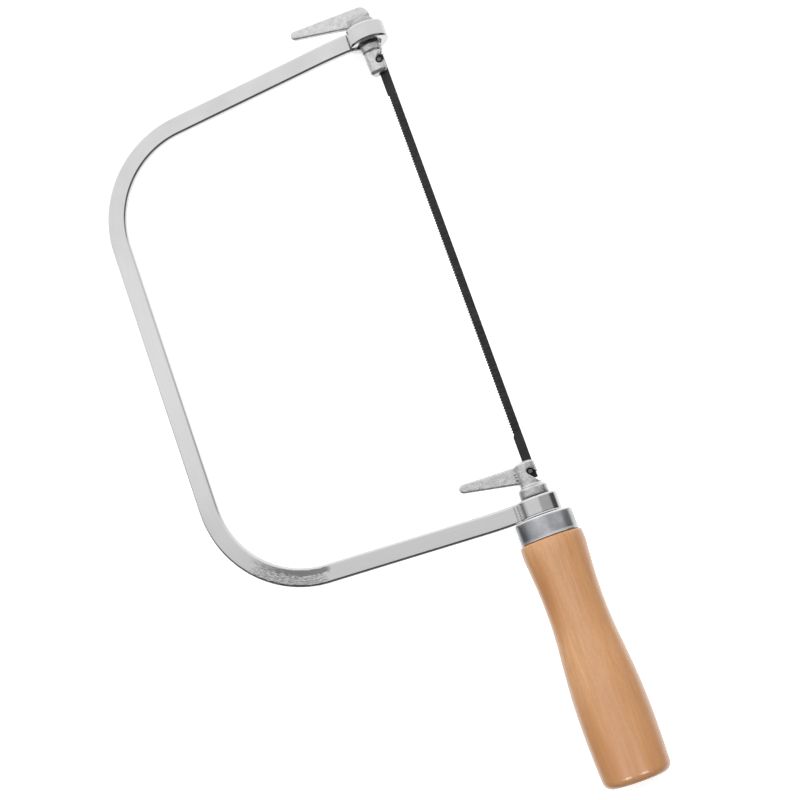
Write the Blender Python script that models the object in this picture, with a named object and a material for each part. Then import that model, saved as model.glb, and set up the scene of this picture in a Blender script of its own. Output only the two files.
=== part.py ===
"""Coping saw: a sprung steel bow, two turning blade holders, a pinned blade and a screwed wooden handle.

Millimetres are used for the driving dimensions and turned into metres by MM.
Inside the script the blade axis is Y (the front of the saw is +Y, the handle is -Y), the bow lies
towards -X and Z is across the flat of the bow. The empty "saw" carries the whole tool, and it is
moved at the end so that the bottom centre of the tool's box lies on the world origin.
"""

import math

import bmesh
import bpy
from mathutils import Vector

MM = 0.001

# Clearances
GAP = 0.3                      # between pieces that bear on each other
FINE_GAP = 0.15                # round the blade pins and the stud

# Blade
PIN_SPAN = 160.0               # centre to centre of the two blade pins
BLADE_FORWARD = 0.7            # the blade's middle, in front of the bow's middle
BLADE_OFFSET = 1.6             # blade middle, towards +X from the holders' axis
BLADE_WIDTH = 3.4
BLADE_THICKNESS = 0.5
BLADE_END = 2.4                # blade beyond each pin
TOOTH_PITCH = 1.02
TOOTH_DEPTH = 0.45
TOOTH_ROOT_STEP = 0.2          # the toothed run is ground this much narrower than the ends
TEETH_MARGIN = 13.8            # from each pin to the first tooth
TOOTH_RAMP = 0.6
PIN_RADIUS = 0.8
PIN_LENGTH = 5.6

# Bow: one flat bar
BAR_WIDTH = 6.8
BAR_THICKNESS = 2.9
BAR_EDGE = 0.35
THROAT = 112.8                 # from the blade holders' axis to the middle of the spine
CORNER_RADIUS = 36.3
ARM_SPLAY = math.radians(3.3)  # each arm runs this far open from the corner to its last bend
ARM_EASE_RADIUS = 200.0        # last bend, which brings the eye square to the blade
EYE_SPAN = 183.4               # centre to centre of the two eyes along the blade
EYE_RADIUS = 7.4
EYE_NECK = 3.4                 # bend radius where the bar turns into the eye

# Blade holders
SLOT_WIDTH = 1.0
SEAT_RADIUS = 1.15
NOTCH_WIDTH = 2.1
NOTCH_ANGLE = math.radians(50.0)
NOTCH_REACH = 4.4              # from the seat to the notch's mouth
SLOT_DEPTH = 6.1               # blade slot beyond the pin's seat
LEVER_THICKNESS = 2.4
LEVER_SWEEP = math.radians(7.0)

FRONT_BODY_RADIUS = 3.4
FRONT_BODY_FLAT = 2.95
FRONT_TIP = 4.4                # from the pin's seat to the end of the holder
FRONT_NECK = 4.1               # from the pin's seat to the foot of the shank
FRONT_SHANK_RADIUS = 3.5       # inside the eye
FRONT_COLLAR_RADIUS = 3.95     # just behind the eye
FRONT_BOSS_RADIUS = 4.7
FRONT_BOSS_RIM = 0.8           # straight part of the boss, before its dome
FRONT_BOSS_HEIGHT = 4.1
FRONT_LEVER_RISE = 4.3         # lever's middle in front of the eye
FRONT_LEVER_REACH = 26.6
FRONT_LEVER_ROOT = 7.6
FRONT_LEVER_TIP = 3.4

REAR_BODY_RADIUS = 3.85
REAR_TIP = 3.6
REAR_NECK = 5.0
REAR_COLLAR_RADIUS = 5.2
REAR_SHANK_RADIUS = 4.0        # inside the eye
REAR_LEVER_REACH = 24.6
REAR_LEVER_ROOT = 7.0
REAR_LEVER_TIP = 3.3
REAR_LEVER_DROP = 0.3          # lever's middle, towards the handle from the pin's seat

# Handle
STUD_RADIUS = 3.0
STUD_LENGTH = 41.0
STUD_SEAT = 7.6                # depth of the stud's socket in the rear holder
FERRULE_RADIUS = 10.5
FERRULE_LENGTH = 7.8
FERRULE_WALL = 0.8
NUT_ACROSS_FLATS = 10.0
NUT_LENGTH = 5.0
HANDLE_LENGTH = 87.2           # wood behind the ferrule
HANDLE_RADII = (               # distance behind the ferrule, radius
    (0.0, 11.15), (3.5, 11.35), (9.5, 10.9), (16.5, 10.4), (25.0, 10.2), (34.0, 10.5),
    (44.0, 11.4), (54.5, 12.2), (66.0, 12.5), (76.0, 12.35), (84.0, 12.05),
)
BUTT_ROUND = 3.2
BUTT_FLAT = 8.9
BORE_RADIUS = 3.5
BORE_LENGTH = 36.0

ROUND = 40                     # sides of a turned piece
HANDLE_SIDES = 48
SMALL_ROUND = 24

FRONT_PIN_Y = BLADE_FORWARD + PIN_SPAN / 2
REAR_PIN_Y = BLADE_FORWARD - PIN_SPAN / 2
EYE_Y = EYE_SPAN / 2
EYE_FACE = EYE_Y + BAR_WIDTH / 2
EYE_BACK = EYE_Y - BAR_WIDTH / 2
FERRULE_FRONT = -(EYE_FACE + GAP)
FERRULE_REAR = FERRULE_FRONT - FERRULE_LENGTH
TENON_FRONT = FERRULE_FRONT - FERRULE_WALL - GAP


def clear_scene():
    for item in list(bpy.data.objects):
        bpy.data.objects.remove(item, do_unlink=True)


def material(name, colour, roughness, metallic):
    finish = bpy.data.materials.new(name)
    finish.use_nodes = True
    shader = finish.node_tree.nodes["Principled BSDF"]
    shader.inputs["Base Color"].default_value = (*colour, 1.0)
    shader.inputs["Roughness"].default_value = roughness
    shader.inputs["Metallic"].default_value = metallic
    return finish


def add_object(name, mesh, finish, parent):
    item = bpy.data.objects.new(name, mesh)
    bpy.context.scene.collection.objects.link(item)
    if finish:
        mesh.materials.append(finish)
    item.parent = parent
    return item


def add_empty(name, at, parent):
    empty = bpy.data.objects.new(name, None)
    bpy.context.scene.collection.objects.link(empty)
    empty.location = Vector(at) * MM
    empty.parent = parent
    return empty


def finish_mesh(name, form):
    bmesh.ops.recalc_face_normals(form, faces=form.faces)
    mesh = bpy.data.meshes.new(name)
    form.to_mesh(mesh)
    form.free()
    mesh.shade_smooth()
    mesh.set_sharp_from_angle(angle=math.radians(35))
    return mesh


def loft(name, rings):
    """Skin a row of equal rings of points, given in millimetres, and cap both ends."""
    form = bmesh.new()
    rows = [[form.verts.new(Vector(point) * MM) for point in ring] for ring in rings]
    count = len(rows[0])
    for low, high in zip(rows, rows[1:]):
        for i in range(count):
            j = (i + 1) % count
            form.faces.new((low[i], low[j], high[j], high[i]))
    form.faces.new(rows[0])
    form.faces.new(rows[-1])
    return finish_mesh(name, form)


def circle(radius, y, sides, flat=None, turn=0.0):
    """A ring about the Y axis. A flat limits its reach along Z."""
    ring = []
    for i in range(sides):
        angle = 2 * math.pi * i / sides + turn
        reach = radius
        if flat is not None and abs(math.sin(angle)) > 1e-6:
            reach = min(radius, flat / abs(math.sin(angle)))
        ring.append((reach * math.cos(angle), y, reach * math.sin(angle)))
    return ring


def turned(name, profile, sides=ROUND):
    """A solid turned about the Y axis, from (y, radius) or (y, radius, flat) steps."""
    return loft(name, [circle(step[1], step[0], sides, *step[2:]) for step in profile])


def prism(name, outline, low, high):
    """An outline in X and Y, extruded along Z."""
    return loft(name, [[(x, y, z) for x, y in outline] for z in (low, high)])


def arc(centre, radius, start, end, steps):
    points = []
    for i in range(steps + 1):
        angle = start + (end - start) * i / steps
        points.append((centre[0] + radius * math.cos(angle), centre[1] + radius * math.sin(angle)))
    return points


def cutter(name, mesh, parent):
    item = add_object(name, mesh, None, parent)
    item.hide_render = True
    item.display_type = "WIRE"
    return item


def boolean(item, tool, operation):
    change = item.modifiers.new(tool.name, "BOOLEAN")
    change.object = tool
    change.operation = operation
    change.solver = "EXACT"


# Bow


def bar_section(centre, across, through):
    """The bar's section with its four edges broken."""
    half_w = BAR_WIDTH / 2
    half_t = BAR_THICKNESS / 2
    corners = [
        (half_w, half_t - BAR_EDGE), (half_w - BAR_EDGE, half_t),
        (BAR_EDGE - half_w, half_t), (-half_w, half_t - BAR_EDGE),
        (-half_w, BAR_EDGE - half_t), (BAR_EDGE - half_w, -half_t),
        (half_w - BAR_EDGE, -half_t), (half_w, BAR_EDGE - half_t),
    ]
    return [Vector(centre) + Vector(across) * w + Vector(through) * t for w, t in corners]


def in_plane_section(x, y, heading):
    across = (-math.sin(heading), math.cos(heading), 0)
    return bar_section((x, y, 0), across, (0, 0, 1))


def eye_section(x, z, heading):
    return bar_section((x, EYE_Y, z), (0, 1, 0), (-math.sin(heading), 0, math.cos(heading)))


def half_bow():
    """Sections from the middle of the spine to the free end of the front eye."""
    ring = EYE_RADIUS - BAR_THICKNESS / 2
    neck_x = -math.sqrt(ring * ring + 2 * ring * EYE_NECK)
    ease_x = neck_x - ARM_EASE_RADIUS * math.sin(ARM_SPLAY)
    ease_y = EYE_Y - ARM_EASE_RADIUS * (1 - math.cos(ARM_SPLAY))
    spine_x = CORNER_RADIUS - THROAT
    arm_x = spine_x - CORNER_RADIUS * math.sin(ARM_SPLAY)
    arm_y = ease_y - (ease_x - arm_x) * math.tan(ARM_SPLAY)
    corner_y = arm_y - CORNER_RADIUS * math.cos(ARM_SPLAY)
    sections = []
    corner_steps = 14
    for i in range(corner_steps + 1):
        heading = math.pi / 2 - (math.pi / 2 - ARM_SPLAY) * i / corner_steps
        x = spine_x - CORNER_RADIUS * math.sin(heading)
        y = corner_y + CORNER_RADIUS * math.cos(heading)
        sections.append(in_plane_section(x, y, heading))
    ease_steps = 3
    for i in range(ease_steps + 1):
        heading = ARM_SPLAY * (1 - i / ease_steps)
        x = neck_x - ARM_EASE_RADIUS * math.sin(heading)
        y = EYE_Y - ARM_EASE_RADIUS * (1 - math.cos(heading))
        sections.append(in_plane_section(x, y, heading))
    join = math.atan2(-EYE_NECK, neck_x)
    neck_turn = math.pi / 2 + join
    neck_steps = 4
    for i in range(1, neck_steps + 1):
        heading = neck_turn * i / neck_steps
        x = neck_x - EYE_NECK * math.sin(heading)
        z = EYE_NECK * (math.cos(heading) - 1)
        sections.append(eye_section(x, z, heading))
    closing = math.pi - math.asin((BAR_THICKNESS / 2 + GAP) / (EYE_RADIUS - BAR_THICKNESS))
    eye_steps = 26
    first = join + math.pi * 2
    last = closing + math.pi * 2
    for i in range(1, eye_steps + 1):
        angle = first + (last - first) * i / eye_steps
        sections.append(eye_section(ring * math.cos(angle), ring * math.sin(angle), angle + math.pi / 2))
    return sections


def make_bow(finish, parent):
    front = half_bow()
    rear = [[Vector((p.x, -p.y, -p.z)) for p in section] for section in front]
    # Half a turn about X swaps the two flat sides, so the points of a section run the other way.
    rear = [section[::-1] for section in rear]
    mesh = loft("frame_bow", list(reversed(rear)) + front)
    return add_object("frame_bow", mesh, finish, parent)


# Blade


def tooth_row():
    """Points down the toothed edge, from the front of the blade to the rear."""
    tips = BLADE_OFFSET - BLADE_WIDTH / 2 + TOOTH_ROOT_STEP
    start = FRONT_PIN_Y - TEETH_MARGIN
    count = int((PIN_SPAN - 2 * TEETH_MARGIN) / TOOTH_PITCH)
    points = []
    for i in range(count):
        y = start - i * TOOTH_PITCH
        points.append((tips + TOOTH_DEPTH, y))
        points.append((tips, y - TOOTH_PITCH * 0.72))
    points.append((tips + TOOTH_DEPTH, start - count * TOOTH_PITCH))
    return points


def make_blade(finish, parent):
    back = BLADE_OFFSET + BLADE_WIDTH / 2
    edge = BLADE_OFFSET - BLADE_WIDTH / 2
    front = FRONT_PIN_Y + BLADE_END
    rear = REAR_PIN_Y - BLADE_END
    plain = TEETH_MARGIN - TOOTH_RAMP
    outline = [(back, rear), (back, front), (edge, front), (edge, FRONT_PIN_Y - plain)]
    outline += tooth_row()
    outline += [(edge, REAR_PIN_Y + plain), (edge, rear)]
    mesh = prism("blade", outline, -BLADE_THICKNESS / 2, BLADE_THICKNESS / 2)
    blade = add_object("blade", mesh, finish, parent)
    for name, y in (("front_blade_pin", FRONT_PIN_Y), ("rear_blade_pin", REAR_PIN_Y)):
        hole = arc((BLADE_OFFSET, y), PIN_RADIUS + FINE_GAP, 0, 2 * math.pi, SMALL_ROUND)[:-1]
        tool = cutter(name + "_hole", prism(name + "_hole", hole, -1, 1), parent)
        boolean(blade, tool, "DIFFERENCE")
        pin = arc((0, 0), PIN_RADIUS, 0, 2 * math.pi, SMALL_ROUND)[:-1]
        pin_mesh = prism(name, pin, -PIN_LENGTH / 2, PIN_LENGTH / 2)
        item = add_object(name, pin_mesh, finish, parent)
        item.location = Vector((BLADE_OFFSET, y, 0)) * MM


# Blade holders


def lever_outline(root, tip, reach, at_y):
    """A tapered lever with round ends, pointing to -X and swept towards the front."""
    along = Vector((-math.cos(LEVER_SWEEP), math.sin(LEVER_SWEEP)))
    lean = math.asin((root - tip) / 2 / (reach - tip / 2))
    facing = math.pi - LEVER_SWEEP
    hub = arc((0, at_y), root / 2, facing + math.pi / 2 - lean, facing + math.pi * 1.5 + lean, 14)
    end = Vector((0, at_y)) + along * (reach - tip / 2)
    nose = arc(end, tip / 2, facing - math.pi / 2 + lean, facing + math.pi / 2 - lean, 10)
    return hub + nose


def add_lever(holder, name, outline, parent):
    mesh = prism(name, outline, -LEVER_THICKNESS / 2, LEVER_THICKNESS / 2)
    boolean(holder, cutter(name, mesh, parent), "UNION")


def add_slots(holder, seat_y, outward, parent):
    """Cut the blade's slot and the two slanted notches for its pin. outward is +1 at the front."""
    name = holder.name
    inner = BLADE_OFFSET - BLADE_WIDTH / 2 - GAP
    outer = BLADE_OFFSET + 8
    ends = sorted((seat_y - outward * 8, seat_y + outward * SLOT_DEPTH))
    box = [(inner, ends[0]), (outer, ends[0]), (outer, ends[1]), (inner, ends[1])]
    slot = cutter(name + "_slot", prism(name + "_slot", box, -SLOT_WIDTH / 2, SLOT_WIDTH / 2), parent)
    boolean(holder, slot, "DIFFERENCE")
    facing = outward * NOTCH_ANGLE
    seat = (BLADE_OFFSET, seat_y)
    notch = arc(seat, SEAT_RADIUS, facing + math.pi / 2, facing + math.pi * 1.5, 12)
    mouth = Vector(seat) + Vector((math.cos(facing), math.sin(facing))) * NOTCH_REACH
    side = Vector((-math.sin(facing), math.cos(facing))) * NOTCH_WIDTH / 2
    notch += [tuple(mouth - side), tuple(mouth + side)]
    channel = cutter(name + "_notch", prism(name + "_notch", notch, -8, 8), parent)
    boolean(holder, channel, "DIFFERENCE")


def make_front_holder(finish, parent):
    tip = FRONT_PIN_Y - FRONT_TIP
    neck = FRONT_PIN_Y + FRONT_NECK
    boss = EYE_FACE + GAP
    profile = [
        (tip, FRONT_BODY_RADIUS - 0.9, FRONT_BODY_FLAT - 0.8),
        (tip + 0.9, FRONT_BODY_RADIUS - 0.1, FRONT_BODY_FLAT - 0.05),
        (neck, FRONT_BODY_RADIUS, FRONT_BODY_FLAT),
        (neck + 0.2, FRONT_BODY_RADIUS + 0.25),
        (EYE_BACK - 0.8, FRONT_COLLAR_RADIUS),
        (EYE_BACK + 0.4, FRONT_SHANK_RADIUS),
        (boss, FRONT_SHANK_RADIUS),
        (boss, FRONT_BOSS_RADIUS),
    ]
    dome_steps = 5
    for i in range(dome_steps):
        angle = math.pi / 2 * i / dome_steps
        rise = FRONT_BOSS_RIM + (FRONT_BOSS_HEIGHT - FRONT_BOSS_RIM) * math.sin(angle)
        profile.append((boss + rise, FRONT_BOSS_RADIUS * math.cos(angle)))
    mesh = turned("front_lever_spigot", profile)
    holder = add_object("front_lever_spigot", mesh, finish, parent)
    lever_y = EYE_FACE + FRONT_LEVER_RISE
    outline = lever_outline(FRONT_LEVER_ROOT, FRONT_LEVER_TIP, FRONT_LEVER_REACH, lever_y)
    add_lever(holder, "front_lever", outline, parent)
    add_slots(holder, FRONT_PIN_Y, 1, parent)


def make_rear_holder(finish, stud_finish, parent):
    tip = REAR_PIN_Y + REAR_TIP
    neck = REAR_PIN_Y - REAR_NECK
    collar = GAP - EYE_BACK
    shank = FERRULE_FRONT + 2 * GAP
    socket = shank + STUD_SEAT
    socket_radius = STUD_RADIUS + FINE_GAP
    profile = [
        (tip, REAR_BODY_RADIUS - 1.1),
        (tip - 1.0, REAR_BODY_RADIUS - 0.15),
        (neck, REAR_BODY_RADIUS),
        (neck, REAR_COLLAR_RADIUS - 0.5),
        (neck - 0.5, REAR_COLLAR_RADIUS),
        (collar, REAR_COLLAR_RADIUS),
        (collar, REAR_SHANK_RADIUS),
        (shank, REAR_SHANK_RADIUS),
        (shank, socket_radius),
        (socket, socket_radius),
    ]
    mesh = turned("rear_lever_spigot", profile)
    holder = add_object("rear_lever_spigot", mesh, finish, parent)
    lever_y = REAR_PIN_Y - REAR_LEVER_DROP
    outline = lever_outline(REAR_LEVER_ROOT, REAR_LEVER_TIP, REAR_LEVER_REACH, lever_y)
    add_lever(holder, "rear_lever", outline, parent)
    add_slots(holder, REAR_PIN_Y, -1, parent)
    top = socket - GAP
    end = top - STUD_LENGTH
    steps = [(top, STUD_RADIUS), (end + 0.8, STUD_RADIUS), (end, STUD_RADIUS - 0.8)]
    add_object("rear_stud", turned("rear_stud", steps, SMALL_ROUND), stud_finish, parent)


# Handle


def hexagon(across_flats, y, sides):
    """A hexagon about the Y axis, drawn with the same number of points as a circle."""
    ring = []
    for i in range(sides):
        angle = 2 * math.pi * i / sides
        from_flat = (angle + math.pi / 6) % (math.pi / 3) - math.pi / 6
        reach = across_flats / 2 / math.cos(math.pi / 6 - abs(from_flat))
        ring.append((reach * math.cos(angle), y, reach * math.sin(angle)))
    return ring


def hollow(name, rings):
    """Skin a closed loop of rings, for a piece with a hole right through it."""
    form = bmesh.new()
    rows = [[form.verts.new(Vector(point) * MM) for point in ring] for ring in rings]
    count = len(rows[0])
    for index, low in enumerate(rows):
        high = rows[(index + 1) % len(rows)]
        for i in range(count):
            j = (i + 1) % count
            form.faces.new((low[i], low[j], high[j], high[i]))
    return finish_mesh(name, form)


def handle_radius(distance):
    """Radius of the turned handle, on a smooth curve through HANDLE_RADII."""
    points = HANDLE_RADII
    index = 0
    while index < len(points) - 2 and distance > points[index + 1][0]:
        index += 1
    before = points[max(index - 1, 0)]
    low = points[index]
    high = points[index + 1]
    after = points[min(index + 2, len(points) - 1)]
    span = high[0] - low[0]
    slope_low = (high[1] - before[1]) / (high[0] - before[0]) * span
    slope_high = (after[1] - low[1]) / (after[0] - low[0]) * span
    t = (distance - low[0]) / span
    return (
        low[1] * (2 * t ** 3 - 3 * t ** 2 + 1)
        + slope_low * (t ** 3 - 2 * t ** 2 + t)
        + high[1] * (3 * t ** 2 - 2 * t ** 3)
        + slope_high * (t ** 3 - t ** 2)
    )


def make_ferrule(finish, parent):
    hole = STUD_RADIUS + GAP
    inner = FERRULE_RADIUS - FERRULE_WALL
    profile = [
        (FERRULE_FRONT, hole), (FERRULE_FRONT, FERRULE_RADIUS - 0.5),
        (FERRULE_FRONT - 0.15, FERRULE_RADIUS - 0.15), (FERRULE_FRONT - 0.5, FERRULE_RADIUS),
        (FERRULE_REAR, FERRULE_RADIUS), (FERRULE_REAR, inner),
        (FERRULE_FRONT - FERRULE_WALL, inner), (FERRULE_FRONT - FERRULE_WALL, hole),
    ]
    rings = [circle(radius, y, HANDLE_SIDES) for y, radius in profile]
    add_object("ferrule", hollow("ferrule", rings), finish, parent)


def make_nut(finish, parent):
    rear = TENON_FRONT - NUT_LENGTH
    bore = STUD_RADIUS + FINE_GAP
    rings = [
        circle(bore, TENON_FRONT, SMALL_ROUND), hexagon(NUT_ACROSS_FLATS, TENON_FRONT, SMALL_ROUND),
        hexagon(NUT_ACROSS_FLATS, rear, SMALL_ROUND), circle(bore, rear, SMALL_ROUND),
    ]
    add_object("handle_nut", hollow("handle_nut", rings), finish, parent)


def make_handle(finish, parent):
    pocket = TENON_FRONT - NUT_LENGTH - GAP
    pocket_size = NUT_ACROSS_FLATS + 2 * GAP
    tenon = FERRULE_RADIUS - FERRULE_WALL - GAP
    shoulder = FERRULE_REAR - GAP
    length = HANDLE_LENGTH - GAP
    rings = [
        circle(BORE_RADIUS, TENON_FRONT - BORE_LENGTH, HANDLE_SIDES),
        circle(BORE_RADIUS, pocket, HANDLE_SIDES),
        hexagon(pocket_size, pocket, HANDLE_SIDES),
        hexagon(pocket_size, TENON_FRONT, HANDLE_SIDES),
        circle(tenon, TENON_FRONT, HANDLE_SIDES),
        circle(tenon, shoulder, HANDLE_SIDES),
        circle(handle_radius(0) - 0.4, shoulder, HANDLE_SIDES),
    ]
    straight = length - BUTT_ROUND
    steps = 20
    for i in range(steps + 1):
        distance = 0.5 + (straight - 0.5) * i / steps
        rings.append(circle(handle_radius(distance), shoulder - distance, HANDLE_SIDES))
    edge = handle_radius(straight)
    for i in range(1, 7):
        angle = math.pi / 2 * i / 6
        radius = BUTT_FLAT + (edge - BUTT_FLAT) * math.cos(angle)
        rings.append(circle(radius, shoulder - straight - BUTT_ROUND * math.sin(angle), HANDLE_SIDES))
    add_object("handle_grip", loft("handle_grip", rings), finish, parent)


def stand_on_origin(saw):
    """Move the whole saw so that the bottom centre of its box is the world origin."""
    bpy.context.view_layer.update()
    graph = bpy.context.evaluated_depsgraph_get()
    points = []
    for item in bpy.context.scene.objects:
        if item.type != "MESH" or item.hide_render:
            continue
        shape = item.evaluated_get(graph)
        points += [shape.matrix_world @ vertex.co for vertex in shape.data.vertices]
    low = [min(point[axis] for point in points) for axis in range(3)]
    high = [max(point[axis] for point in points) for axis in range(3)]
    saw.location = -Vector(((low[0] + high[0]) / 2, (low[1] + high[1]) / 2, low[2]))


def main():
    clear_scene()
    chrome = material("bow_chrome", (0.78, 0.78, 0.78), 0.18, 1.0)
    zinc = material("cast_zinc", (0.66, 0.66, 0.66), 0.42, 0.9)
    blued = material("blade_steel", (0.035, 0.035, 0.037), 0.45, 0.6)
    bright = material("bright_steel", (0.6, 0.6, 0.62), 0.3, 1.0)
    beech = material("lacquered_beech", (0.72, 0.42, 0.2), 0.28, 0.0)
    saw = add_empty("saw", (0, 0, 0), None)
    make_bow(chrome, saw)
    front_holder = add_empty("front_holder", (0, 0, 0), saw)
    make_front_holder(zinc, front_holder)
    blade_set = add_empty("blade_set", (0, 0, 0), front_holder)
    make_blade(blued, blade_set)
    rear_holder = add_empty("rear_holder", (0, 0, 0), front_holder)
    make_rear_holder(zinc, bright, rear_holder)
    handle = add_empty("handle", (0, 0, 0), saw)
    make_ferrule(bright, handle)
    make_nut(bright, handle)
    make_handle(beech, handle)
    stand_on_origin(saw)


main()
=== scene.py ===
"""The looks of the coping saw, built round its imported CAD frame.

Shapes are given in millimetres about the saw's own axis: Y runs from the handle (-Y) to the front (+Y)
along the line that the holders turn on, the bow lies towards -X, and Z is across the flat of the bow.
place() turns such a point into the frame's metres.
"""

import math

import bmesh
import bpy
from mathutils import Matrix, Vector, noise


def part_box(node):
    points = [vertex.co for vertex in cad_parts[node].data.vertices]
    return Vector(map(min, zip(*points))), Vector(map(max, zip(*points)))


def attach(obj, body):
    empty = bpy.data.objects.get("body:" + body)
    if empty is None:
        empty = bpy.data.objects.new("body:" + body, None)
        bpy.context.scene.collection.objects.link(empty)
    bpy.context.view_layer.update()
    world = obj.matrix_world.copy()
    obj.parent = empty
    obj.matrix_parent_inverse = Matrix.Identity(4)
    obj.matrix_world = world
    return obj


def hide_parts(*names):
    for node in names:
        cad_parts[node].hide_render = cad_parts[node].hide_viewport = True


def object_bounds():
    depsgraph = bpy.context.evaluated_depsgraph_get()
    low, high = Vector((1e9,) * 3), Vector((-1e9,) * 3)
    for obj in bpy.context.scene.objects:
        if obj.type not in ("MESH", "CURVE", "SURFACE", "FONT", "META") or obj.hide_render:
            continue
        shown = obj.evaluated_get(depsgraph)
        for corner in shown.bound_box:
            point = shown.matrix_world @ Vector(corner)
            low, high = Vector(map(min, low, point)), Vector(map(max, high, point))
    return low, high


MM = 0.001

# Clearances
GAP = 0.3

# Blade
BLADE_WIDTH = 3.4
BLADE_THICKNESS = 0.5
BLADE_BACK_ROUND = 0.09
TOOTH_PITCH = 1.02
TOOTH_DEPTH = 0.45
TOOTH_ROOT_STEP = 0.2
TOOTH_RISE = 0.72              # share of the pitch from a gullet to the tip behind it
TOOTH_SET = 0.11               # teeth lean this far to alternate sides
TEETH_MARGIN = 13.8
TOOTH_RAMP = 0.6
PIN_ROUND = 0.22

# Bow
BAR_WIDTH = 6.8
BAR_THICKNESS = 2.9
BAR_ROUND = 0.75
BAR_LAND = 0.12                # flat strip that keeps each rounded edge's shading off the faces
THROAT = 112.8
CORNER_RADIUS = 36.3
ARM_SPLAY = math.radians(3.3)
ARM_EASE_RADIUS = 200.0
EYE_SPAN = 183.4
EYE_RADIUS = 7.4
EYE_NECK = 3.4
EYE_RING = EYE_RADIUS - BAR_THICKNESS / 2
NECK_START = -math.sqrt(EYE_RING ** 2 + 2 * EYE_RING * EYE_NECK)   # X where the arm bends off
EYE_STEPS = 170
END_CHAMFER = 1.0              # round the cut end of each eye, along the bar
END_CHAMFER_DEPTH = 0.7
END_CHAMFER_SIDE = 0.3
NECK_RIPPLE = 0.085            # marks that the bending tool left in each neck
RIPPLE_PITCH = 1.05
RIPPLE_MIDDLE = (1.0, -0.6)    # X and Z of the neck's middle, from where the neck starts
RIPPLE_REACH = 4.2             # the marks fade out this far from the neck's middle
SPINE_STEPS = 8
CORNER_STEPS = 40
CORNER_THINNING = 0.16         # share of the bar's thickness lost on the outside of each corner
THINNING_RATE = 6              # the thinning sets in over one part in this many of the corner

# Blade holders
SLOT_WIDTH = 1.0
SEAT_RADIUS = 1.15
NOTCH_WIDTH = 2.1
NOTCH_ANGLE = math.radians(50.0)
NOTCH_REACH = 4.4
SLOT_DEPTH = 6.1
CUT_REACH = 8.0                # slots and notches are cut this far out, past the castings
LEVER_THICKNESS = 2.4
LEVER_RIM = 0.55
LEVER_SWEEP = math.radians(7.0)

TIP_TAPER = 0.1                # the tips are this much slimmer before their rounded ends
TIP_ROUND = 0.9
STEP = 0.3                     # softened length of each step in a turned body

FRONT_BODY_RADIUS = 3.4
FRONT_BODY_FLAT = 2.95
FRONT_NECK = 4.1
FRONT_SHANK_RADIUS = 3.5
FRONT_COLLAR_RADIUS = 3.95
FRONT_BOSS_RADIUS = 4.7
FRONT_BOSS_RIM = 0.8
FRONT_BOSS_HEIGHT = 4.1
FRONT_LEVER_RISE = 4.3
FRONT_LEVER_REACH = 26.6
FRONT_LEVER_ROOT = 7.6
FRONT_LEVER_TIP = 3.4

REAR_BODY_RADIUS = 3.85
REAR_NECK = 5.0
REAR_COLLAR_RADIUS = 5.2
REAR_SHANK_RADIUS = 4.0
REAR_BEVEL_START = 0.4         # bevel on the tip's lever side, from just beside the axis
REAR_BEVEL_DROP = 1.1
ROOT_BUMPS = 3                 # small bumps where the rear lever leaves the body
ROOT_BUMP_RADIUS = 0.4
ROOT_BUMP_PITCH = 1.0
ROOT_BUMP_RISE = 0.35
REAR_LEVER_REACH = 24.6
REAR_LEVER_ROOT = 7.0
REAR_LEVER_TIP = 3.3
REAR_LEVER_DROP = 0.3

CAST_VOXEL = 0.17
CAST_LUMPS = 0.035
CAST_LUMP_SIZE = 1.6
HOLLOW_SHADE_REACH = 2.4               # the castings are painted darker, as painted shade, in hollows of about this size
EDGE_SHADE_REACH = 0.55              # and along their outer edges, as painted shade, over this width

# Handle
STUD_RADIUS = 3.0
STUD_FIT = 0.15                # clearance round the stud in the casting's socket and in the nut
STUD_LEAD = 0.8                # the thread is turned down over this length at both ends
STUD_LEAD_DROP = 0.5
THREAD_PITCH = 1.0
THREAD_DEPTH = 0.55
THREAD_CREST = 1.6             # over 1, so that each crest has a flat
FERRULE_RADIUS = 10.5
FERRULE_WALL = 0.8
FERRULE_ROUND = 0.9
FERRULE_FLARE = 0.16           # the body is this much slimmer than the rim
FLARE_START = 1.1              # distances from the ferrule's rear edge
FLARE_END = 0.4
LIP_LENGTH = 0.15
LIP_DROP = 0.2
FRONT_RIM_HIGHLIGHT = (0.6, 0.35)    # the ferrule's painted rim highlights fade in between these distances from its ends
REAR_RIM_HIGHLIGHT = (0.45, 0.25)
FERRULE_SIDE_SHADE = (-1.0, -4.5)         # the ferrule is painted darker between these places along X, as painted shade
NUT_ACROSS_FLATS = 10.0
NUT_CHAMFER = 0.7
NUT_CORNER = 0.15              # how far the chamfered corners stand past the flats
HANDLE_RADII = (               # distance behind the ferrule, radius
    (0.0, 11.15), (3.5, 11.35), (9.5, 10.9), (16.5, 10.4), (25.0, 10.2), (34.0, 10.5),
    (44.0, 11.4), (54.5, 12.2), (66.0, 12.5), (76.0, 12.35), (84.0, 12.05),
)
BUTT_ROUND = 3.2
BUTT_FLAT = 8.9
BORE_RADIUS = 3.5
BORE_LENGTH = 36.0
SHOULDER_ROUND = 0.6
HANDLE_SIDES = 96
ROUND = 64

# Figure of the wood
HEARTWOOD = (0.47, 0.19, 0.056)
BUTT_DARKENING = 28.0               # the butt end's darker colour fades out over this length
BUTT_DARKENING_RAGGED = 16.8
HEART_ASIDE = -6.5             # middle of a darker streak, to one side of the waist
HEART_BACK = 25.0
HEART_UP = 7.0
HEART_SCALE = (0.2, 0.055, 0.12)

# Wear on the bow, in the bar's own map: along from the rear eye's end, round from the outer edge
WEAR_MIDDLE = 121.5            # the worn patch's middle, along
WEAR_LENGTH = 31.0
WEAR_BAND = 5.6                # the dull band's middle, round
WEAR_WIDTH = 2.5
WEAR_PATCHES = 0.8             # how far the worn patch breaks up towards the spine
FACE_END = 6.6                 # where the near face meets its inner edge

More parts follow.
